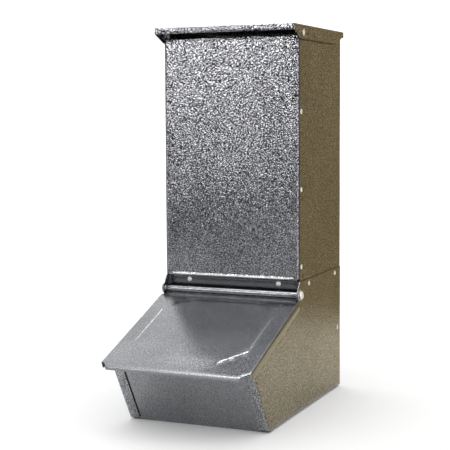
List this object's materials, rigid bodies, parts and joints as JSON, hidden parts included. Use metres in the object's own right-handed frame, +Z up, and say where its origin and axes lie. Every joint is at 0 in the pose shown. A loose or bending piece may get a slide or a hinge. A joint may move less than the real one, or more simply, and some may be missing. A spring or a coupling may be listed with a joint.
{
  "type": "gravity poultry feeder",
  "caption": "Upright folded-steel gravity feeder: feed hopper over an open trough, with a hinged trough lid in front and a forward-tipping roof.",
  "frame": {"origin": "floor level, centre of the closed feeder's footprint", "axes": "+Z up, -Y is the front where the trough opens, +X to the right seen from the front"},
  "size_m": [0.2444, 0.4342, 0.604],
  "materials": {
    "hammertone_paint": "silver-grey hammered enamel over sheet steel",
    "zinc_steel": "bright zinc plate"
  },
  "bodies": {
    "housing": {"hopper_wrap": "hammertone_paint", "hopper_front": "hammertone_paint", "feed_baffle": "hammertone_paint", "feed_chute": "hammertone_paint", "trough_pan": "hammertone_paint", "base_side_left": "hammertone_paint", "base_side_right": "hammertone_paint", "hinge_rod": "zinc_steel", "hinge_washers": "zinc_steel", "hinge_caps": "zinc_steel", "roof_pivots": "zinc_steel", "roof_spacers": "zinc_steel", "front_rivets_left": "zinc_steel", "front_rivets_right": "zinc_steel", "lap_rivets_left": "zinc_steel", "lap_rivets_right": "zinc_steel", "rear_rivets": "zinc_steel", "baffle_rivets": "zinc_steel", "chute_rivets": "zinc_steel"},
    "trough_lid": {"trough_lid": "hammertone_paint"},
    "roof_lid": {"roof_lid": "hammertone_paint"}
  },
  "joints": [
    {"name": "trough_lid_hinge", "type": "hinge", "parent": "housing", "child": "trough_lid", "pos_m": [0, 0.00358, 0.187], "axis": [-1, 0, 0], "range_deg": [0, 111]},
    {"name": "roof_hinge", "type": "hinge", "parent": "housing", "child": "roof_lid", "pos_m": [0, 0.01758, 0.592], "axis": [1, 0, 0], "range_deg": [0, 70]}
  ]
}
